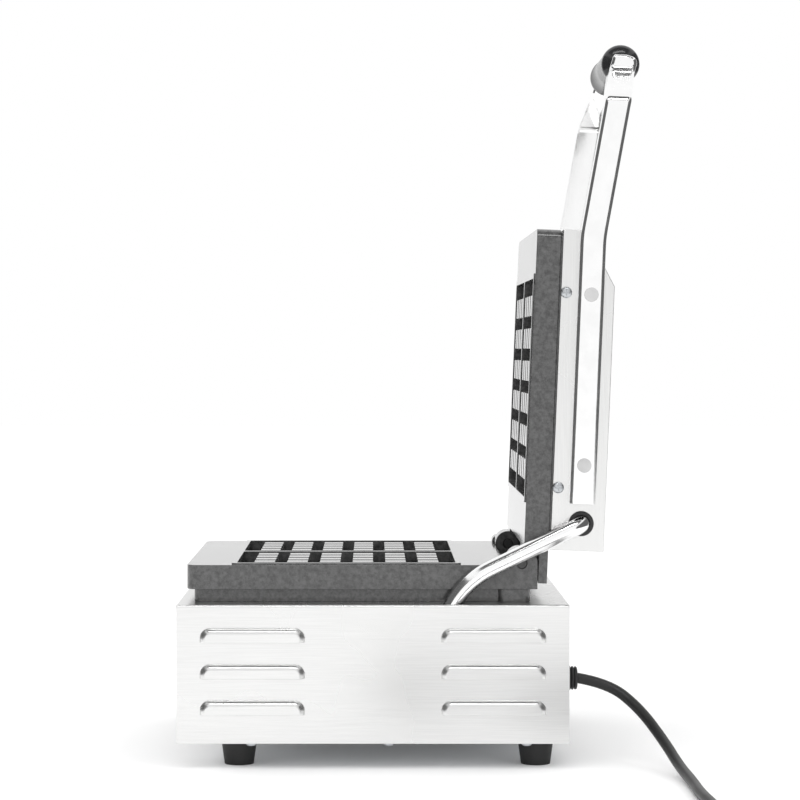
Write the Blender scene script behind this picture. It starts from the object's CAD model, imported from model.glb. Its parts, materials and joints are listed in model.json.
import json
from math import cos, pi, radians, sin

import bpy
from bpy.props import FloatProperty, FloatVectorProperty, IntProperty, PointerProperty
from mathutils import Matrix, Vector

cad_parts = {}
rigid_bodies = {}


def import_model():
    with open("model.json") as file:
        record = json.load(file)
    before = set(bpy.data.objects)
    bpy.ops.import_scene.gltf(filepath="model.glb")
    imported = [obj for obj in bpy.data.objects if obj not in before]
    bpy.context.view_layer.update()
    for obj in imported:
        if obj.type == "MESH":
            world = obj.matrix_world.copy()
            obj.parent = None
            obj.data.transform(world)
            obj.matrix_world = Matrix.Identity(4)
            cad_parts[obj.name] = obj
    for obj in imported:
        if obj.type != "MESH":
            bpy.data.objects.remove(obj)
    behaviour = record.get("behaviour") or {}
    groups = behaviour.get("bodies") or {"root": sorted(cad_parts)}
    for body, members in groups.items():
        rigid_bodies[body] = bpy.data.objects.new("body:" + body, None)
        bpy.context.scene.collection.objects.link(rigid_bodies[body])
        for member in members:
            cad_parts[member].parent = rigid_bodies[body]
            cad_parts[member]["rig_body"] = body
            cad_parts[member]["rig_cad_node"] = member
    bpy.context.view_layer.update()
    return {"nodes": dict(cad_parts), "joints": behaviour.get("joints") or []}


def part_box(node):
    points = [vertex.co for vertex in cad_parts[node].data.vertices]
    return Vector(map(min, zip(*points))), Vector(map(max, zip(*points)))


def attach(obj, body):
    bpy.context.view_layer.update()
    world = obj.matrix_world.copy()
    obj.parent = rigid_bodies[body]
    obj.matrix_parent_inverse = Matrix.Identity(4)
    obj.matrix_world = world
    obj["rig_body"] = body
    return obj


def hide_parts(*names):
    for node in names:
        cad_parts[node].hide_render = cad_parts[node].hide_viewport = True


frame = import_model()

bl_info = {
    "name": "Countertop Waffle Iron",
    "version": (1, 0, 0),
    "blender": (4, 5, 0),
    "location": "View3D > Sidebar > Waffle Iron",
    "description": "Finishes, cord, controls, fasteners and stage "
                   "of a countertop electric waffle iron",
    "category": "Object",
}

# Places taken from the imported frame. Metres; +X runs to the back, +Y to the far side, +Z up.
joints = {joint["name"]: joint for joint in frame["joints"]}
knob_centre = Vector(joints["knob_turn"]["pos_m"])
switch_centre = Vector(joints["rocker_tilt"]["pos_m"])
gland_low, gland_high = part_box("cord_gland")
coil_low, coil_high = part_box("cord_coil")

MM = 0.001
WELD = 0.002 * MM       # corners of a CAD mesh nearer than this are one
FLAT = radians(0.3)     # triangles that meet at less than this are one flat face
EDGE = radians(30)      # where faces meet at more than this, there is an edge
SMOOTH = radians(50)    # shading runs smoothly over folds up to this on rounded pieces
TO_COOK, TO_BACK, TO_FAR, DOWN = (-1, 0, 0), (1, 0, 0), (0, 1, 0), (0, 0, -1)
NEAR, FAR = -1, 1       # sides of the middle, along Y
WHITE = (1, 1, 1, 1)


# ---------------------------------------------------------------- settings
class StageSettings(bpy.types.PropertyGroup):
    """Camera, lamps and floor."""
    camera_place: FloatVectorProperty(
        name="Camera place", description="Where the camera stands", size=3,
        default=(-0.0316, -1.9625, 0.3152), subtype="TRANSLATION", unit="LENGTH")
    camera_lens: FloatProperty(
        name="Lens", description="Focal length on a 36 mm sensor, in millimetres",
        default=109.35, min=10)
    camera_shift: FloatVectorProperty(
        name="Shift", description="Sideways and upward shift of the lens", size=2,
        default=(0.0345, -0.0625))
    world_strength: FloatProperty(
        name="Room light", description="Strength of the light from all round", default=1.2, min=0)
    key_power: FloatProperty(
        name="Key lamp", description="Power of the large lamp at the upper left",
        default=18.0, min=0, subtype="POWER", unit="POWER")
    fill_power: FloatProperty(
        name="Fill lamp", description="Power of the lamp at the right",
        default=6.0, min=0, subtype="POWER", unit="POWER")
    floor_white: FloatProperty(
        name="Floor white", description="Share of plain white in the floor as it is seen",
        default=0.06, min=0, max=1, subtype="FACTOR")
    softbox_glow: FloatProperty(
        name="Softbox glow", default=5.0, min=0,
        description="Brightness of the strip that glossy plastic mirrors from above")
    card_grey: FloatProperty(
        name="Card grey", description="Brightness of the dark cards that the bright metal mirrors",
        default=0.12, min=0, max=1, subtype="FACTOR")


class FinishSettings(bpy.types.PropertyGroup):
    """Colours of the finishes."""
    stainless: FloatVectorProperty(
        name="Stainless", description="Brushed stainless sheet", subtype="COLOR", size=3,
        default=(0.79, 0.79, 0.785), min=0, max=1)
    chrome: FloatVectorProperty(
        name="Chrome", description="Polished arms and tube", subtype="COLOR", size=3,
        default=(0.97, 0.97, 0.97), min=0, max=1)
    iron: FloatVectorProperty(
        name="Cast iron", description="Dark cast plates", subtype="COLOR", size=3,
        default=(0.05, 0.05, 0.05), min=0, max=1)
    zinc: FloatVectorProperty(
        name="Zinc", description="Zinc-plated sheet and fasteners", subtype="COLOR", size=3,
        default=(0.58, 0.6, 0.62), min=0, max=1)
    black_plastic: FloatVectorProperty(
        name="Black plastic", description="Grip, knob, switch, gland and plug",
        subtype="COLOR", size=3, default=(0.018, 0.018, 0.019), min=0, max=1)
    black_rubber: FloatVectorProperty(
        name="Black rubber", description="Feet and cord", subtype="COLOR", size=3,
        default=(0.014, 0.014, 0.014), min=0, max=1)
    grey_plastic: FloatVectorProperty(
        name="Grey plastic", description="Caps over the arm bolts", subtype="COLOR", size=3,
        default=(0.44, 0.44, 0.44), min=0, max=1)
    power_green: FloatVectorProperty(
        name="Power lamp", description="Lens of the power lamp", subtype="COLOR", size=3,
        default=(0.05, 0.42, 0.12), min=0, max=1)
    heating_amber: FloatVectorProperty(
        name="Heating lamp", description="Lens of the heating lamp", subtype="COLOR", size=3,
        default=(0.85, 0.27, 0.02), min=0, max=1)


class PieceSettings(bpy.types.PropertyGroup):
    """Sizes of the modelled pieces."""
    lower_casting_ease: FloatProperty(
        name="Lower plate's edge", description="Rounding of the lower cast plate's edges",
        default=0.3 * MM, min=0, subtype="DISTANCE", unit="LENGTH")
    upper_casting_ease: FloatProperty(
        name="Upper plate's edge", description="Rounding of the upper cast plate's edges",
        default=0.5 * MM, min=0, subtype="DISTANCE", unit="LENGTH")
    sheet_ease: FloatProperty(
        name="Sheet edge", description="Rounding of the sheet metal's edges",
        default=0.45 * MM, min=0, subtype="DISTANCE", unit="LENGTH")
    cord_diameter: FloatProperty(
        name="Cord diameter", description="Outer diameter of the mains cord",
        default=8.2 * MM, min=0.001, subtype="DISTANCE", unit="LENGTH")
    cord_length: FloatProperty(
        name="Cord length", description="Real length of the mains cord, gland to plug",
        default=1.405, min=0.1, subtype="DISTANCE", unit="LENGTH")
    coil_turn_points: IntProperty(
        name="Points per turn", description="Control points in each turn of the coil",
        default=16, min=12)
    knob_flutes: IntProperty(
        name="Knob flutes", description="Finger flutes round the thermostat knob",
        default=14, min=3)
    dial_marks: IntProperty(
        name="Dial marks", description="Numbered marks round the thermostat knob", default=6, min=2)


# ---------------------------------------------------------------- making and placing meshes
def start_clean():
    """Leave edit mode and select nothing."""
    if bpy.context.object and bpy.context.object.mode != "OBJECT":
        bpy.ops.object.mode_set(mode="OBJECT")
    bpy.ops.object.select_all(action="DESELECT")


def only(piece):
    """Make a piece the active and only selected one."""
    start_clean()
    piece.select_set(True)
    bpy.context.view_layer.objects.active = piece


def settle(piece):
    """Put a piece's place, turn and size into its mesh, so that its object sits at the origin."""
    only(piece)
    bpy.ops.object.transform_apply(location=True, rotation=True, scale=True)


def add_modifier(piece, kind, **values):
    """Add a modifier and apply it."""
    only(piece)
    modifier = piece.modifiers.new(kind.title(), kind)
    for name, value in values.items():
        setattr(modifier, name, value)
    bpy.ops.object.modifier_apply(modifier=modifier.name)


def ease(piece, width, segments=2, clamp=True):
    """Round a piece's sharp edges, shade the roundings smooth and keep the broad faces flat."""
    add_modifier(piece, "BEVEL", width=width, segments=segments, limit_method="ANGLE",
                 angle_limit=EDGE, use_clamp_overlap=clamp, loop_slide=clamp)
    only(piece)
    bpy.ops.object.shade_smooth_by_angle(angle=SMOOTH)
    add_modifier(piece, "WEIGHTED_NORMAL", keep_sharp=True)


def turned(name, rings, sides=48):
    """A turned piece along +Z from rings of radius and height, closed at both ends."""
    start_clean()
    radius, height = rings[0]
    bpy.ops.mesh.primitive_circle_add(vertices=sides, radius=radius, fill_type="NGON",
                                      location=(0, 0, height))
    piece = bpy.context.object
    piece.name = name
    bpy.ops.object.mode_set(mode="EDIT")
    for (radius, height), (next_radius, next_height) in zip(rings, rings[1:]):
        rise = (0, 0, next_height - height)
        bpy.ops.mesh.extrude_region_move(TRANSFORM_OT_translate={"value": rise})
        growth = next_radius / radius
        bpy.ops.transform.resize(value=(growth, growth, 1), center_override=(0, 0, next_height))
    bpy.ops.mesh.select_all(action="SELECT")
    bpy.ops.mesh.remove_doubles(threshold=0.001 * MM)
    bpy.ops.mesh.normals_make_consistent(inside=False)
    bpy.ops.object.mode_set(mode="OBJECT")
    settle(piece)
    return piece


def block(name, size, centre):
    """A cube stretched to a size, its place in its mesh."""
    start_clean()
    bpy.ops.mesh.primitive_cube_add(size=1, location=centre)
    piece = bpy.context.object
    piece.name = name
    piece.scale = size
    settle(piece)
    return piece


def cut(piece, cutter):
    """Take one solid out of another and remove the cutter."""
    add_modifier(piece, "BOOLEAN", operation="DIFFERENCE", solver="EXACT", object=cutter)
    bpy.data.objects.remove(cutter)


def placed_copy(model, name, centre, out):
    """A copy of a model made along +Z, with its own mesh, standing at a centre and pointing out."""
    piece = model.copy()
    piece.data = model.data.copy()
    piece.name = name
    bpy.context.scene.collection.objects.link(piece)
    piece.rotation_euler = Vector(out).to_track_quat("Z", "Y").to_euler()
    piece.location = centre
    settle(piece)
    return piece


def stood(model, centre, out):
    """A model that is needed once, in its place: a copy of it, with the model removed."""
    piece = placed_copy(model, model.name, centre, out)
    bpy.data.objects.remove(model)
    return piece


def joined(name, pieces):
    """Several meshes made one piece."""
    start_clean()
    for piece in pieces:
        piece.select_set(True)
    bpy.context.view_layer.objects.active = pieces[0]
    if len(pieces) > 1:
        bpy.ops.object.join()
    whole = bpy.context.object
    whole.name = name
    return whole


def finish_piece(piece, body, finish, *nodes):
    """Let a piece ride on a body with its finish, in place of any CAD nodes it stands for."""
    piece.data.materials.clear()
    piece.data.materials.append(finish)
    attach(piece, body)
    if nodes:
        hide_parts(*nodes)
    return piece


def welded_copy(name):
    """A copy of a CAD piece off its body, selected in edit mode, its loose triangles merged."""
    piece = frame["nodes"][name].copy()
    piece.data = piece.data.copy()
    piece.parent = None
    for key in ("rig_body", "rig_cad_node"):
        del piece[key]
    bpy.context.scene.collection.objects.link(piece)
    only(piece)
    bpy.ops.mesh.customdata_custom_splitnormals_clear()
    bpy.ops.object.mode_set(mode="EDIT")
    bpy.ops.mesh.select_all(action="SELECT")
    bpy.ops.mesh.remove_doubles(threshold=WELD)
    return piece


def eased_copy(name, finish, width, segments=2):
    """A copy of a CAD piece with its edges rounded, in its place."""
    piece = welded_copy(name)
    piece.name = f"{name}_eased"
    bpy.ops.mesh.dissolve_limited(angle_limit=FLAT)
    bpy.ops.object.mode_set(mode="OBJECT")
    ease(piece, width, segments, clamp=False)
    return finish_piece(piece, frame["nodes"][name]["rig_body"], finish, name)


def dress(finish, *nodes):
    """Give CAD pieces whose shape is right a finish."""
    for name in nodes:
        mesh = frame["nodes"][name].data
        mesh.materials.clear()
        mesh.materials.append(finish)


# ---------------------------------------------------------------- finishes
ALONG_GRAIN = 0.02    # a brushed grain is drawn out fifty times along this axis


def new_finish(name):
    """A new material, its node tree and its shader."""
    material = bpy.data.materials.new(name)
    material.use_nodes = True
    tree = material.node_tree
    return material, tree, tree.nodes["Principled BSDF"]


def node(tree, kind, inputs=None, **settings):
    """Add a node; an input is either a value or the socket that feeds it."""
    made = tree.nodes.new(kind)
    for name, value in settings.items():
        setattr(made, name, value)
    for name, value in (inputs or {}).items():
        if isinstance(value, bpy.types.NodeSocket):
            tree.links.new(value, made.inputs[name])
        else:
            made.inputs[name].default_value = value
    return made


def grain(tree, scale, stretch=(1, 1, 1), detail=3.0, roughness=0.55):
    """Noise of so many features per metre in the piece's own space, drawn out along an axis."""
    place = node(tree, "ShaderNodeTexCoord").outputs["Object"]
    spread = node(tree, "ShaderNodeMapping", {"Vector": place, "Scale": stretch}).outputs["Vector"]
    inputs = {"Vector": spread, "Scale": scale, "Detail": detail, "Roughness": roughness}
    return node(tree, "ShaderNodeTexNoise", inputs).outputs["Fac"]


def shades(tree, factor, dark, light, low=0.3, high=0.7):
    """Colour between two shades as a factor goes from low to high."""
    ramp = node(tree, "ShaderNodeValToRGB", {"Fac": factor})
    ramp.color_ramp.interpolation = "EASE"
    ramp.color_ramp.elements[0].position = low
    ramp.color_ramp.elements[0].color = (*dark, 1)
    ramp.color_ramp.elements[1].position = high
    ramp.color_ramp.elements[1].color = (*light, 1)
    return ramp.outputs["Color"]


def between(tree, factor, low, high):
    """A value between two limits as a factor goes over the middle of its range."""
    inputs = {"Value": factor, "From Min": 0.25, "From Max": 0.75, "To Min": low, "To Max": high}
    spread = node(tree, "ShaderNodeMapRange", inputs, interpolation_type="SMOOTHSTEP")
    return spread.outputs["Result"]


def relief(tree, height, depth, strength=1.0, over=None):
    """A bump of a real depth in metres, laid over another one."""
    inputs = {"Height": height, "Distance": depth, "Strength": strength}
    if over is not None:
        inputs["Normal"] = over
    return node(tree, "ShaderNodeBump", inputs).outputs["Normal"]


def scaled(colour, share):
    """A colour made darker or lighter."""
    return tuple(min(1.0, part * share) for part in colour)


def set_shader(tree, shader, **inputs):
    """Set or link the shader's inputs; an underscore in a name stands for a space."""
    for name, value in inputs.items():
        socket = shader.inputs[name.replace("_", " ")]
        if isinstance(value, bpy.types.NodeSocket):
            tree.links.new(value, socket)
        else:
            socket.default_value = value


def brushed_sheet(name, colour, stretch):
    """Sheet steel with a fine brushed grain and faint cloudy wiping marks."""
    material, tree, shader = new_finish(name)
    streaks = grain(tree, 1500, stretch, detail=3)
    clouds = grain(tree, 9, detail=2)
    set_shader(tree, shader, Metallic=1.0,
               Base_Color=shades(tree, streaks, scaled(colour, 0.965), scaled(colour, 1.02)),
               Roughness=between(tree, clouds, 0.26, 0.29),
               Normal=relief(tree, streaks, 0.006 * MM, 0.35))
    return material


def cast_iron(name, colour):
    """Dark sand-cast iron: a fine pebbled skin, cloudy in tone, under a thin baked-on gloss."""
    material, tree, shader = new_finish(name)
    pebbles = grain(tree, 900, detail=3, roughness=0.6)
    clouds = grain(tree, 38, detail=4)
    sand = relief(tree, pebbles, 0.12 * MM, 0.7)
    tone = shades(tree, grain(tree, 240, detail=8, roughness=0.8),
                  scaled(colour, 0.35), scaled(colour, 1.75), 0.32, 0.68)
    set_shader(tree, shader, Base_Color=tone, Roughness=between(tree, clouds, 0.38, 0.5),
               Specular_IOR_Level=0.35, Coat_Weight=1.0, Coat_Roughness=0.09, Coat_IOR=1.55,
               Normal=relief(tree, clouds, 0.1 * MM, 0.4, sand))
    return material


def polished(name, colour, roughness):
    """Plated or turned metal with a faint haze."""
    material, tree, shader = new_finish(name)
    haze = grain(tree, 60, detail=3)
    set_shader(tree, shader, Metallic=1.0,
               Base_Color=shades(tree, haze, scaled(colour, 0.97), scaled(colour, 1.02)),
               Roughness=between(tree, haze, roughness, roughness * 1.7),
               Normal=relief(tree, grain(tree, 25, detail=1), 0.05 * MM, 0.2))
    return material


def moulded(name, colour, roughness, grain_depth=0.02):
    """Moulded plastic or rubber with a fine spark-eroded grain; its depth is in millimetres."""
    material, tree, shader = new_finish(name)
    texture = grain(tree, 2200, detail=2)
    clouds = grain(tree, 30, detail=3)
    set_shader(tree, shader,
               Base_Color=shades(tree, clouds, scaled(colour, 0.85), scaled(colour, 1.2)),
               Roughness=between(tree, clouds, roughness * 0.92, roughness * 1.1),
               Normal=relief(tree, texture, grain_depth * MM, 0.8))
    return material


def plated(name, colour):
    """Zinc plate with soft spangles."""
    material, tree, shader = new_finish(name)
    place = node(tree, "ShaderNodeTexCoord").outputs["Object"]
    spangle = node(tree, "ShaderNodeTexVoronoi",
                   {"Vector": place, "Scale": 160.0, "Randomness": 1.0})
    tone = node(tree, "ShaderNodeRGBToBW", {"Color": spangle.outputs["Color"]}).outputs["Val"]
    set_shader(tree, shader, Metallic=1.0,
               Base_Color=shades(tree, tone, scaled(colour, 0.85), scaled(colour, 1.1), 0.2, 0.8),
               Roughness=between(tree, tone, 0.32, 0.46),
               Normal=relief(tree, grain(tree, 1400), 0.01 * MM, 0.5))
    return material


def heat_tinted(name, dark, light):
    """Metal darkened by heat, in clouds of two tones."""
    material, tree, shader = new_finish(name)
    clouds = grain(tree, 45, detail=5)
    set_shader(tree, shader, Metallic=0.8, Base_Color=shades(tree, clouds, dark, light),
               Roughness=between(tree, clouds, 0.4, 0.6),
               Normal=relief(tree, grain(tree, 1500), 0.02 * MM, 0.6))
    return material


def fibrous(name, dark, light, stretch):
    """Matted or braided fibre."""
    material, tree, shader = new_finish(name)
    fibres = grain(tree, 700, stretch, detail=5, roughness=0.7)
    set_shader(tree, shader, Base_Color=shades(tree, fibres, dark, light), Roughness=0.95,
               Sheen_Weight=0.3, Normal=relief(tree, fibres, 0.4 * MM, 0.9))
    return material


def lens(name, colour):
    """Translucent coloured plastic over an unlit lamp."""
    material, tree, shader = new_finish(name)
    clouds = grain(tree, 220, detail=2)
    set_shader(tree, shader,
               Base_Color=shades(tree, clouds, scaled(colour, 0.8), scaled(colour, 1.15)),
               Roughness=0.14, Transmission_Weight=0.35, IOR=1.49, Coat_Weight=0.4)
    return material


def finishes():
    """Make every finish once."""
    if bpy.data.materials.get("stainless_walls"):
        return bpy.data.materials
    colours = bpy.context.scene.waffle_iron_finishes
    brushed_sheet("stainless_walls", colours.stainless, (ALONG_GRAIN, 1, 1))
    brushed_sheet("stainless_ends", colours.stainless, (1, ALONG_GRAIN, 1))
    brushed_sheet("stainless_lid", colours.stainless, (1, 1, ALONG_GRAIN))
    cast_iron("cast_iron_skin", colours.iron)
    polished("chrome_plate", colours.chrome, 0.09)
    polished("nickel_plate", (0.74, 0.71, 0.64), 0.12)
    polished("turned_steel", (0.6, 0.6, 0.6), 0.2)
    polished("oiled_steel", (0.09, 0.09, 0.09), 0.3)
    plated("zinc_plate", colours.zinc)
    moulded("black_grip_plastic", colours.black_plastic, 0.17, 0.005)
    moulded("black_case_plastic", colours.black_plastic, 0.48, 0.03)
    moulded("grey_cap_plastic", colours.grey_plastic, 0.4)
    moulded("foot_rubber", colours.black_rubber, 0.62, 0.04)
    moulded("cord_rubber_skin", colours.black_rubber, 0.42, 0.01)
    moulded("white_print", (0.8, 0.8, 0.78), 0.5)
    moulded("dark_print", (0.03, 0.03, 0.03), 0.5)
    moulded("terminal_ceramic", (0.78, 0.76, 0.7), 0.3)
    heat_tinted("heater_steel", (0.1, 0.085, 0.075), (0.24, 0.22, 0.23))
    heat_tinted("copper_bulb", (0.5, 0.24, 0.13), (0.72, 0.4, 0.25))
    fibrous("mineral_wool_mat", (0.45, 0.4, 0.28), (0.75, 0.7, 0.55), stretch=(1, 1, 0.3))
    fibrous("glass_sleeving", (0.5, 0.47, 0.38), (0.75, 0.72, 0.62), stretch=(1, 1, 1))
    lens("green_lens_plastic", colours.power_green)
    lens("amber_lens_plastic", colours.heating_amber)
    return bpy.data.materials


# ---------------------------------------------------------------- stage
SENSOR_WIDTH = 36
LAMP_AIM = Vector((0, 0, 0.25))    # what both lamps point at
FLOOR_SIZE = 16
FLOOR_GREY = (0.92, 0.92, 0.92, 1)
LEVEL, UPRIGHT = (0, 0, 0), (radians(90), 0, radians(90))
# Dark cards beside and over the object: name, centre, size, turn.
FLAGS = (
    ("left_flag", (-1.5, -1.2, 0.9), (5.4, 1.7), UPRIGHT),
    ("right_flag", (1.6, -1.2, 0.9), (5.4, 1.7), UPRIGHT),
    ("ceiling_flag", (0, -0.9, 2.2), (2.6, 2.2), LEVEL),
)


def bare_tree(owner):
    """The node tree of a material or world, emptied."""
    owner.use_nodes = True
    owner.node_tree.nodes.clear()
    return owner.node_tree


def worked_out(tree, operation, first, second):
    """What a step of arithmetic on two values gives."""
    made = node(tree, "ShaderNodeMath", {0: first, 1: second}, operation=operation)
    return made.outputs["Value"]


def seen_ray(tree):
    """1 for what the camera sees directly, in a mirror or through glass, 0 for other light."""
    rays = node(tree, "ShaderNodeLightPath").outputs
    mirrored = worked_out(tree, "MAXIMUM", rays["Is Glossy Ray"], rays["Is Transmission Ray"])
    return worked_out(tree, "MAXIMUM", rays["Is Camera Ray"], mirrored)


def glow(tree, colour):
    """A surface that glows evenly in a colour, at strength 1."""
    inputs = {"Color": colour, "Strength": 1.0}
    return node(tree, "ShaderNodeEmission", inputs).outputs["Emission"]


def mirror_card(name, centre, size, turn, grey):
    """A card of some brightness that only mirroring surfaces see, as a studio flag."""
    start_clean()
    bpy.ops.mesh.primitive_plane_add(size=1, location=centre, rotation=turn)
    card = bpy.context.object
    card.name = name
    card.scale = (*size, 1)
    settle(card)
    material = bpy.data.materials.new(f"{name}_finish")
    tree = bare_tree(material)
    surface = glow(tree, (grey, grey, grey, 1))
    node(tree, "ShaderNodeOutputMaterial", {"Surface": surface})
    card.data.materials.append(material)
    card.visible_camera = False
    card.visible_diffuse = False
    card.visible_shadow = False
    card.visible_transmission = False


class WAFFLEIRON_OT_stage(bpy.types.Operator):
    """Set up the camera, the white room, its lamps and the floor"""
    bl_idname = "waffle_iron.stage"
    bl_label = "Stage"

    def execute(self, context):
        stage = context.scene.waffle_iron_stage
        start_clean()
        bpy.ops.object.camera_add(location=stage.camera_place, rotation=(radians(90), 0, 0))
        camera = context.object
        camera.data.lens = stage.camera_lens
        camera.data.sensor_width = SENSOR_WIDTH
        camera.data.shift_x, camera.data.shift_y = stage.camera_shift
        context.scene.camera = camera
        context.scene.view_settings.view_transform = "Standard"

        self.add_world(context, stage)
        self.add_lamp("key_lamp", (-0.6, -1.5, 2.6), 1.8, stage.key_power)
        self.add_lamp("fill_lamp", (1.9, -1.1, 1.3), 1.4, stage.fill_power)
        self.add_floor(stage)
        for name, centre, size, turn in FLAGS:
            mirror_card(name, centre, size, turn, stage.card_grey)
        mirror_card("ceiling_softbox", (0, -1.2, 2.19), (1.6, 0.5), LEVEL, stage.softbox_glow)
        return {"FINISHED"}

    def add_world(self, context, stage):
        """A room that lights the object at its own strength and is seen as plain white."""
        world = bpy.data.worlds.new("white_room")
        context.scene.world = world
        tree = bare_tree(world)
        light = node(tree, "ShaderNodeBackground",
                     {"Color": WHITE, "Strength": stage.world_strength})
        backdrop = node(tree, "ShaderNodeBackground", {"Color": WHITE, "Strength": 1.0})
        both = node(tree, "ShaderNodeMixShader", {
            "Fac": seen_ray(tree), 1: light.outputs["Background"],
            2: backdrop.outputs["Background"]})
        node(tree, "ShaderNodeOutputWorld", {"Surface": both.outputs["Shader"]})

    def add_lamp(self, name, place, size, power):
        """A large soft lamp turned to the object, not seen in mirrors."""
        start_clean()
        aim = (LAMP_AIM - Vector(place)).to_track_quat("-Z", "Y").to_euler()
        bpy.ops.object.light_add(type="AREA", location=place, rotation=aim)
        lamp = bpy.context.object
        lamp.name = name
        lamp.data.size = size
        lamp.data.energy = power
        lamp.visible_glossy = False

    def add_floor(self, stage):
        """A pale matt floor with some plain white where it is seen."""
        start_clean()
        bpy.ops.mesh.primitive_grid_add(x_subdivisions=4, y_subdivisions=4, size=FLOOR_SIZE)
        floor = bpy.context.object
        floor.name = "floor"
        material = bpy.data.materials.new("white_floor")
        tree = bare_tree(material)
        matt = node(tree, "ShaderNodeBsdfDiffuse", {"Color": FLOOR_GREY})
        share = worked_out(tree, "MULTIPLY", seen_ray(tree), stage.floor_white)
        both = node(tree, "ShaderNodeMixShader", {
            "Fac": share, 1: matt.outputs["BSDF"], 2: glow(tree, WHITE)})
        node(tree, "ShaderNodeOutputMaterial", {"Surface": both.outputs["Shader"]})
        floor.data.materials.append(material)


# ---------------------------------------------------------------- mains cord, gland and plug
# In millimetres: the free cord from the gland's tip, and the tail from the coil to the plug.
CORD_ROUTE = (
    (0.0, 0.0, 0.0), (24.0, -1.0, -4.0), (46.0, -17.0, -20.5), (61.5, -45.0, -41.0),
    (69.0, -84.0, -54.5), (72.5, -128.0, -57.4), (72.0, -176.0, -57.4), (75.5, -226.0, -57.4),
    (74.1, -280.0, -57.4),
)
TAIL_ROUTE = ((-30.0, 0.0, 0.0), (-58.0, -1.5, 3.2), (-84.0, -1.5, 6.4), (-108.0, -1.5, 6.4))
# The coil's turns, clockwise from its +X side: degrees turned, place across the coil, layer.
COIL_STEPS = (
    (0, 1, 0), (290, 1, 0), (345, 0, 0), (590, 0, 0), (650, 0, 1), (890, 0, 1), (950, 1, 1),
    (1170, 1, 1),
)


def coil_points(centre, inner, outer, diameter, per_turn):
    """Control points of the coil's turns, each a smooth step between the places that they keep."""
    points = []
    last = COIL_STEPS[-1][0]
    count = round(last / 360 * per_turn)
    for index in range(count + 1):
        turned_by = last * index / count
        for (start, place, layer), (end, next_place, next_layer) in zip(COIL_STEPS, COIL_STEPS[1:]):
            if start <= turned_by <= end:
                share = (turned_by - start) / (end - start)
                share = share * share * (3 - 2 * share)
                across = place + (next_place - place) * share
                level = layer + (next_layer - layer) * share
        # The spline runs inside its control points, so they stand a little further out.
        radius = (inner + (outer - inner) * across) * 2 / (1 + cos(2 * pi / per_turn))
        angle = -radians(turned_by)
        height = diameter / 2 + diameter * level
        points.append(centre + Vector((radius * cos(angle), radius * sin(angle), height)))
    return points


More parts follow.
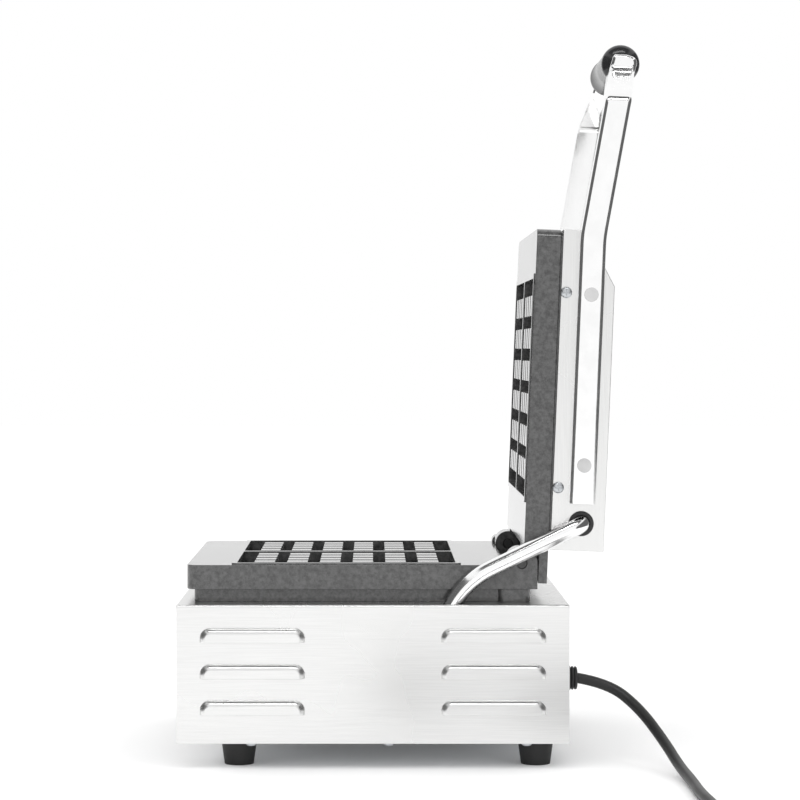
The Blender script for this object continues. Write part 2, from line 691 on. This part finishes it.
class WAFFLEIRON_OT_mains_cord(bpy.types.Operator):
    """Lay the mains cord from its gland to its coil and plug"""
    bl_idname = "waffle_iron.mains_cord"
    bl_label = "Mains cord"

    def execute(self, context):
        sizes = context.scene.waffle_iron_pieces
        finish = finishes()
        radius = sizes.cord_diameter / 2
        tip = (gland_low + gland_high) / 2
        tip.x = gland_high.x
        coil_centre = (coil_low + coil_high) / 2
        coil_centre.z = 0
        outer = (coil_high.x - coil_low.x) / 2 - radius
        route = [tip + Vector(point) * MM for point in CORD_ROUTE]
        inner = outer - 2 * radius
        turns = coil_points(coil_centre, inner, outer, 2 * radius, sizes.coil_turn_points)
        tail_start = coil_centre + Vector((0, -outer, 3 * radius))
        tail = [tail_start + Vector(point) * MM for point in TAIL_ROUTE]
        line = self.add_spline(route + turns + tail, radius)
        line.data.materials.append(finish["cord_rubber_skin"])
        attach(line, "base")
        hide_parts("mains_cord", "cord_coil", "cord_tail")
        plug = self.add_plug(tail[-1])
        tie = self.add_tie(coil_centre, outer, radius)
        self.add_gland(tip)
        return {"FINISHED"}

    def add_spline(self, points, radius):
        """The cord as one round line that starts and ends at its first and last points."""
        data = bpy.data.curves.new("mains_cord_line", "CURVE")
        data.dimensions = "3D"
        data.bevel_depth = radius
        data.bevel_resolution = 5
        data.resolution_u = 8
        data.use_fill_caps = True
        spline = data.splines.new("NURBS")
        spline.points.add(len(points) - 1)
        for control, point in zip(spline.points, points):
            control.co = (*point, 1)
        # These two come after the points, which reset them.
        spline.order_u = 3
        spline.use_endpoint_u = True
        line = bpy.data.objects.new("mains_cord_line", data)
        bpy.context.scene.collection.objects.link(line)
        return line

    def add_gland(self, tip):
        """A moulded bush: plain neck inside the wall, round flange and ribbed tapering nose."""
        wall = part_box("rear_panel")[1].x
        wide = (gland_high.z - gland_low.z) / 2
        inner, outer = gland_low.x - wall, tip.x - wall
        neck, groove = wide * 0.84, outer / 8
        rings = [(neck * 0.95, inner), (neck, inner + MM), (neck, 0), (wide, 0), (wide, 2 * groove)]
        for rib in range(3):
            place = (2 + 1.8 * rib) * groove
            radius = wide * (0.985 - 0.02 * rib)
            dip = radius * 0.9
            rings += [(dip, place + 0.1 * MM), (dip, place + 0.6 * groove),
                      (radius, place + 0.7 * groove), (radius, place + 1.8 * groove)]
        rings.append((wide * 0.82, outer))
        model = turned("cord_gland_bush", rings)
        ease(model, 0.25 * MM, 1)
        gland = stood(model, Vector((wall, tip.y, tip.z)), TO_BACK)
        finish_piece(gland, "base", finishes()["black_case_plastic"], "cord_gland")

    def add_plug(self, neck):
        """A moulded plug: ribbed neck, round shell with a waist, flat face towards the pins."""
        low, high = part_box("plug_body")
        wide = (high.z - low.z) / 2 * 0.995
        length = high.x - low.x
        rings = [(0.27 * wide, 0), (0.3 * wide, 1.5 * MM)]
        for rib in range(6):
            place = (2 + 3.4 * rib) * MM
            radius = (0.3 + 0.028 * rib) * wide
            dip = radius * 0.86
            rings += [(radius, place), (radius, place + 2 * MM),
                      (dip, place + 2.2 * MM), (dip, place + 3.2 * MM)]
        rings += [(0.5 * wide, 23 * MM), (0.86 * wide, 27 * MM), (0.96 * wide, 31 * MM),
                  (wide, 36 * MM), (wide, 44 * MM), (0.93 * wide, 46 * MM), (0.93 * wide, 52 * MM),
                  (wide, 54 * MM), (wide, length - 1.2 * MM), (0.94 * wide, length)]
        model = turned("plug_shell", rings)
        ease(model, 0.4 * MM, 2)
        plug = stood(model, Vector((high.x, neck.y, neck.z)), TO_COOK)
        return finish_piece(plug, "base", finishes()["black_case_plastic"], "plug_body")

    def add_tie(self, centre, outer, radius):
        """A strap round the coil's turns, on its -X side."""
        middle = outer - radius
        height = 4 * radius
        start_clean()
        bpy.ops.mesh.primitive_cube_add(size=1, location=centre + Vector((-middle, 0, height / 2)))
        tie = bpy.context.object
        tie.name = "coil_tie"
        tie.scale = (4 * radius, 9 * MM, height)
        settle(tie)
        bpy.ops.object.mode_set(mode="EDIT")
        bpy.ops.mesh.select_mode(type="FACE")
        bpy.ops.mesh.select_all(action="DESELECT")
        bpy.ops.object.mode_set(mode="OBJECT")
        # The strap is open where the cord runs through it, towards +Y and -Y.
        for face in tie.data.polygons:
            face.select = abs(face.normal.y) > 0.9
        bpy.ops.object.mode_set(mode="EDIT")
        bpy.ops.mesh.delete(type="FACE")
        bpy.ops.object.mode_set(mode="OBJECT")
        add_modifier(tie, "BEVEL", width=3 * MM, segments=4, limit_method="ANGLE",
                     angle_limit=EDGE)
        add_modifier(tie, "SOLIDIFY", thickness=0.5 * MM, offset=-1)
        only(tie)
        bpy.ops.object.shade_smooth_by_angle(angle=EDGE)
        return finish_piece(tie, "base", finishes()["black_case_plastic"])


# ---------------------------------------------------------------- castings, sheet metal and handle
class WAFFLEIRON_OT_castings(bpy.types.Operator):
    """Round the cast plates' edges and give them their pebbled skin"""
    bl_idname = "waffle_iron.castings"
    bl_label = "Cast plates"

    def execute(self, context):
        sizes = context.scene.waffle_iron_pieces
        skin = finishes()["cast_iron_skin"]
        eased_copy("lower_plate", skin, sizes.lower_casting_ease)
        eased_copy("upper_plate", skin, sizes.upper_casting_ease)
        dress(finishes()["oiled_steel"], "hinge_pin_near", "hinge_pin_far")
        return {"FINISHED"}


class WAFFLEIRON_OT_housing(bpy.types.Operator):
    """Finish the housing's shell, its end panels, base and feet"""
    bl_idname = "waffle_iron.housing"
    bl_label = "Housing"

    def execute(self, context):
        width = context.scene.waffle_iron_pieces.sheet_ease
        finish = finishes()
        eased_copy("housing_shell", finish["stainless_walls"], width)
        eased_copy("front_panel", finish["stainless_ends"], width)
        eased_copy("rear_panel", finish["stainless_ends"], width)
        dress(finish["zinc_plate"], "base_plate")
        dress(finish["foot_rubber"],
              "foot_front_near", "foot_front_far", "foot_rear_near", "foot_rear_far")
        return {"FINISHED"}


class WAFFLEIRON_OT_lid(bpy.types.Operator):
    """Finish the lid's cover, its handle and the conduit tube"""
    bl_idname = "waffle_iron.lid"
    bl_label = "Lid and handle"

    def execute(self, context):
        width = context.scene.waffle_iron_pieces.sheet_ease
        finish = finishes()
        eased_copy("lid_cover", finish["stainless_lid"], width)
        dress(finish["chrome_plate"], "handle_arm_near", "handle_arm_far", "conduit_tube")
        self.add_grip(finish["black_grip_plastic"])
        dress(finish["black_case_plastic"], "lid_bush", "lid_bush_nut")
        dress(finish["zinc_plate"], "grip_rod", "arm_spacers", "arm_bolts", "arm_nuts")
        eased_copy("arm_plugs", finish["grey_cap_plastic"], 0.4 * MM, 3)
        return {"FINISHED"}

    def add_grip(self, finish):
        """A round grip with domed shoulders and a slightly slimmer middle."""
        low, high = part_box("grip")
        radius, half = (high.x - low.x) / 2, (high.y - low.y) / 2
        shoulder, depth = 0.8 * radius, 0.6 * radius
        rings = []
        for degrees in range(0, 100, 10):
            angle = radians(degrees)
            rings.append((radius - shoulder * (1 - sin(angle)), -half + depth * (1 - cos(angle))))
        rings += [(radius, -0.9 * half + depth), (radius * 0.97, -0.88 * half + depth)]
        rings += [(ring_radius, -height) for ring_radius, height in reversed(rings)]
        grip = stood(turned("grip_round", rings, 96), (low + high) / 2, TO_FAR)
        only(grip)
        bpy.ops.object.shade_smooth_by_angle(angle=EDGE)
        finish_piece(grip, "lid", finish, "grip")


# ---------------------------------------------------------------- controls
DIAL_SWEEP = radians(270)
PRINT_DEPTH = 0.03 * MM    # half the thickness of what is printed on the front panel
FIGURE_SIZE = 4.2 * MM


def at_panel(place):
    """A place moved in X to the middle of the print on the front panel."""
    return Vector((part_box("front_panel")[0].x - PRINT_DEPTH, place.y, place.z))


class WAFFLEIRON_OT_controls(bpy.types.Operator):
    """Model the thermostat knob and its dial, the switch's marks and the pilot lamps"""
    bl_idname = "waffle_iron.controls"
    bl_label = "Controls"

    def execute(self, context):
        sizes = context.scene.waffle_iron_pieces
        finish = finishes()
        self.add_knob(sizes.knob_flutes, finish)
        self.add_dial(sizes.dial_marks, finish)
        eased_copy("power_switch", finish["black_case_plastic"], 0.35 * MM)
        eased_copy("power_rocker", finish["black_grip_plastic"], 0.5 * MM, 3)
        self.add_switch_marks(finish)
        self.add_lamp("pilot_lamp_power", finish["green_lens_plastic"], finish["chrome_plate"])
        self.add_lamp("pilot_lamp_heating", finish["amber_lens_plastic"], finish["chrome_plate"])
        dress(finish["turned_steel"], "thermostat_shaft")
        return {"FINISHED"}

    def add_knob(self, flutes, finish):
        """A skirted knob with finger flutes and a raised pointer."""
        low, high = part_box("thermostat_knob")
        wide, height = (high.y - low.y) / 2, high.x - low.x
        grip = wide * 0.79
        rings = [(wide * 0.97, 0), (wide, 0.6 * MM), (wide, 3.2 * MM), (wide * 0.95, 4 * MM),
                 (grip, 4.2 * MM), (grip * 0.93, height - 1.2 * MM), (grip * 0.86, height)]
        model = turned("thermostat_knob_fluted", rings, 96)
        flute_ring = 1.07 * grip
        cutters = []
        for flute in range(flutes):
            angle = 2 * pi * (flute + 0.5) / flutes
            cutter = turned("flute_cutter", [(1.9 * MM, 4.6 * MM), (2.6 * MM, height + MM)], 20)
            cutter.location = (flute_ring * cos(angle), flute_ring * sin(angle), 0)
            settle(cutter)
            cutters.append(cutter)
        cut(model, joined("flute_cutters", cutters))
        ease(model, 0.35 * MM, 2)
        knob = stood(model, Vector((high.x, knob_centre.y, knob_centre.z)), TO_COOK)
        finish_piece(knob, "knob", finish["black_case_plastic"], "thermostat_knob")
        pointer = block("knob_pointer", (0.5 * MM, 1.6 * MM, grip * 0.8),
                        (low.x + 0.22 * MM, knob_centre.y, knob_centre.z + grip * 0.42))
        ease(pointer, 0.15 * MM)
        finish_piece(pointer, "knob", finish["white_print"])

    def add_dial(self, marks, finish):
        """Numbers and ticks printed on the panel round the knob, over three quarters of a turn."""
        low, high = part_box("thermostat_knob")
        wide = (high.y - low.y) / 2
        prints = []
        for index in range(marks + 1):
            turn = DIAL_SWEEP * index / marks
            out = Vector((0, sin(turn), cos(turn)))
            tick = block("dial_tick", (2 * PRINT_DEPTH, 0.7 * MM, 2.4 * MM), (0, 0, 0))
            tick.rotation_euler = (-turn, 0, 0)
            tick.location = at_panel(knob_centre + out * (wide + 2.6 * MM))
            settle(tick)
            prints.append(tick)
            prints.append(self.add_figure(str(index), knob_centre + out * (wide + 7 * MM)))
        finish_piece(joined("dial_print", prints), "base", finish["dark_print"])

    def add_figure(self, text, centre):
        """A printed figure on the front panel, read from the cook's side."""
        start_clean()
        bpy.ops.object.text_add(location=(0, 0, 0))
        figure = bpy.context.object
        figure.data.body = text
        figure.data.size = FIGURE_SIZE
        figure.data.align_x = "CENTER"
        figure.data.align_y = "CENTER"
        figure.data.extrude = PRINT_DEPTH
        bpy.ops.object.convert(target="MESH")
        figure = bpy.context.object
        figure.rotation_euler = (radians(90), 0, radians(-90))
        figure.location = at_panel(centre)
        settle(figure)
        return figure

    def add_switch_marks(self, finish):
        """A bar and a ring on the two halves of the rocker's dished face."""
        tilt = radians(joints["rocker_tilt"]["range_deg"][1] / 2)
        face = Vector((-cos(tilt), 0, sin(tilt)))
        up = Vector((sin(tilt), 0, cos(tilt)))
        corners = [vertex.co - switch_centre
                   for vertex in frame["nodes"]["power_rocker"].data.vertices]
        reach = max(corner.dot(face) for corner in corners)
        half = max(corner.dot(up) for corner in corners)
        dish = 1.6 * MM
        lean = dish / half
        middle = switch_centre + face * (reach - dish * 0.42)
        apart = up * half * 0.58
        bar = block("rocker_bar", (0.12 * MM, 0.9 * MM, 4.2 * MM), (0, 0, 0))
        bar.rotation_euler = (0, tilt - lean, 0)
        bar.location = middle + apart
        settle(bar)
        start_clean()
        bpy.ops.mesh.primitive_torus_add(major_radius=2 * MM, minor_radius=0.35 * MM,
                                         major_segments=36, minor_segments=8)
        ring = bpy.context.object
        ring.scale = (1, 1, 0.2)
        settle(ring)
        ring.rotation_euler = (0, radians(90) + tilt + lean, 0)
        ring.location = middle - apart
        settle(ring)
        finish_piece(joined("rocker_marks", [bar, ring]), "rocker", finish["white_print"])

    def add_lamp(self, name, lens_finish, bezel_finish):
        """A bright bezel round a domed lens."""
        low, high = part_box(name)
        wide = (high.y - low.y) / 2
        seat = (low + high) / 2
        seat.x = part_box("front_panel")[0].x
        rings = [(wide * 0.75, seat.x - high.x), (wide * 0.76, -0.2 * MM), (wide * 0.98, 0),
                 (wide, 0.4 * MM), (wide * 0.97, 1.4 * MM), (wide * 0.86, 2 * MM),
                 (wide * 0.76, 2 * MM), (wide * 0.7, 1.4 * MM)]
        bezel = turned(f"{name}_bezel", rings, 64)
        ease(bezel, 0.15 * MM)
        finish_piece(stood(bezel, seat, TO_COOK), "base", bezel_finish, name)
        rings = [(wide * 0.69, 1.2 * MM), (wide * 0.69, 3.4 * MM), (wide * 0.6, 4.2 * MM),
                 (wide * 0.42, 4.7 * MM), (wide * 0.2, 4.95 * MM)]
        dome = turned(f"{name}_lens", rings, 64)
        ease(dome, 0.2 * MM)
        finish_piece(stood(dome, seat, TO_COOK), "base", lens_finish)


# ---------------------------------------------------------------- fasteners
# A domed screw head, from its seat to its top: shares of its radius and of its height.
HEAD_DOME = ((1, 0), (1, 0.3), (0.95, 0.55), (0.82, 0.8), (0.6, 0.95), (0.3, 1))


def cross_head_screw(name, head_radius, head_height, thread, length):
    """A pan-head screw along +Z with a cross recess, its head's seat at the origin."""
    rings = [(thread * 0.8, -length), (thread, -length + thread * 0.6), (thread, 0)]
    rings += [(head_radius * across, head_height * up) for across, up in HEAD_DOME]
    screw = turned(name, rings, 40)
    slots = []
    for turn in (0, radians(90)):
        slot = block("slot_cutter", (head_radius * 1.1, head_radius * 0.17, head_height * 1.2),
                     (0, 0, head_height * 1.15))
        slot.rotation_euler = (0, 0, turn)
        settle(slot)
        slots.append(slot)
    cut(screw, slots[0])
    cut(screw, slots[1])
    ease(screw, head_radius * 0.04, 1)
    return screw


def loose_parts(name):
    """Lowest and highest corner of each separate solid of a CAD node."""
    welded_copy(name)
    bpy.ops.mesh.separate(type="LOOSE")
    bpy.ops.object.mode_set(mode="OBJECT")
    corners = []
    for part in list(bpy.context.selected_objects):
        places = [vertex.co for vertex in part.data.vertices]
        corners.append((Vector([min(p[axis] for p in places) for axis in range(3)]),
                        Vector([max(p[axis] for p in places) for axis in range(3)])))
        bpy.data.objects.remove(part)
    return corners


def screw_set(name, head_share, out=None):
    """Cross-head screws in place of a CAD node's solids, their heads outward or to the sides."""
    pieces = []
    model = None
    for low, high in loose_parts(name):
        centre = (low + high) / 2
        direction = Vector(out or (0, NEAR if centre.y < 0 else FAR, 0))
        axis = max(range(3), key=lambda index: abs(direction[index]))
        whole = high[axis] - low[axis]
        head_radius = (high.x - low.x) / 2
        head_height = head_radius * head_share
        if model is None:
            model = cross_head_screw(f"{name}_model", head_radius, head_height,
                                     head_radius * 0.5, whole - head_height)
        seat = centre + direction * (whole / 2 - head_height)
        pieces.append(placed_copy(model, f"{name}_cross_head", seat, direction))
    bpy.data.objects.remove(model)
    screws = joined(f"{name}_cross_head", pieces)
    finish_piece(screws, frame["nodes"][name]["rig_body"], finishes()["zinc_plate"], name)


class WAFFLEIRON_OT_fasteners(bpy.types.Operator):
    """Model the cross-head screws that show"""
    bl_idname = "waffle_iron.fasteners"
    bl_label = "Fasteners"

    def execute(self, context):
        screw_set("cover_screws", 0.68)
        screw_set("base_screws", 0.6, DOWN)
        screw_set("foot_screws", 0.6, DOWN)
        dress(finishes()["zinc_plate"],
              "foot_nuts", "plate_screws", "lower_clamp_screws", "upper_clamp_screws")
        return {"FINISHED"}


class WAFFLEIRON_OT_inner_pieces(bpy.types.Operator):
    """Finish what the housing, lid and tube hold inside"""
    bl_idname = "waffle_iron.inner_pieces"
    bl_label = "Inner pieces"

    def execute(self, context):
        finish = finishes()
        dress(finish["heater_steel"], "lower_heater", "upper_heater")
        dress(finish["zinc_plate"],
              "lower_heater_clamp", "upper_heater_clamp", "heat_shield", "thermostat")
        dress(finish["mineral_wool_mat"], "lower_insulation", "upper_insulation")
        dress(finish["copper_bulb"], "thermostat_bulb")
        dress(finish["terminal_ceramic"], "terminal_block")
        dress(finish["glass_sleeving"], "conduit_wires", "harness")
        dress(finish["cord_rubber_skin"], "supply_lead")
        dress(finish["nickel_plate"], "plug_pins")
        return {"FINISHED"}


# ---------------------------------------------------------------- panel, registration and run
class WAFFLEIRON_PT_panel(bpy.types.Panel):
    """Settings and steps of the waffle iron"""
    bl_idname = "WAFFLEIRON_PT_panel"
    bl_label = "Waffle Iron"
    bl_space_type = "VIEW_3D"
    bl_region_type = "UI"
    bl_category = "Waffle Iron"

    def draw(self, context):
        layout = self.layout
        for settings in (context.scene.waffle_iron_pieces, context.scene.waffle_iron_finishes,
                         context.scene.waffle_iron_stage):
            box = layout.box()
            for name in settings.__annotations__:
                box.prop(settings, name)
        for step in STEPS:
            layout.operator(step.bl_idname)


STEPS = (
    WAFFLEIRON_OT_stage, WAFFLEIRON_OT_mains_cord, WAFFLEIRON_OT_castings, WAFFLEIRON_OT_housing,
    WAFFLEIRON_OT_lid, WAFFLEIRON_OT_controls, WAFFLEIRON_OT_fasteners,
    WAFFLEIRON_OT_inner_pieces,
)
SETTINGS = {"waffle_iron_stage": StageSettings, "waffle_iron_finishes": FinishSettings,
            "waffle_iron_pieces": PieceSettings}
CLASSES = (*SETTINGS.values(), *STEPS, WAFFLEIRON_PT_panel)


def register():
    for made in CLASSES:
        bpy.utils.register_class(made)
    for name, group in SETTINGS.items():
        setattr(bpy.types.Scene, name, PointerProperty(type=group))


def unregister():
    for name in SETTINGS:
        delattr(bpy.types.Scene, name)
    for made in reversed(CLASSES):
        bpy.utils.unregister_class(made)


def main():
    register()
    bpy.ops.waffle_iron.stage()
    bpy.ops.waffle_iron.mains_cord()
    bpy.ops.waffle_iron.castings()
    bpy.ops.waffle_iron.housing()
    bpy.ops.waffle_iron.lid()
    bpy.ops.waffle_iron.controls()
    bpy.ops.waffle_iron.fasteners()
    bpy.ops.waffle_iron.inner_pieces()


if __name__ == "__main__":
    main()
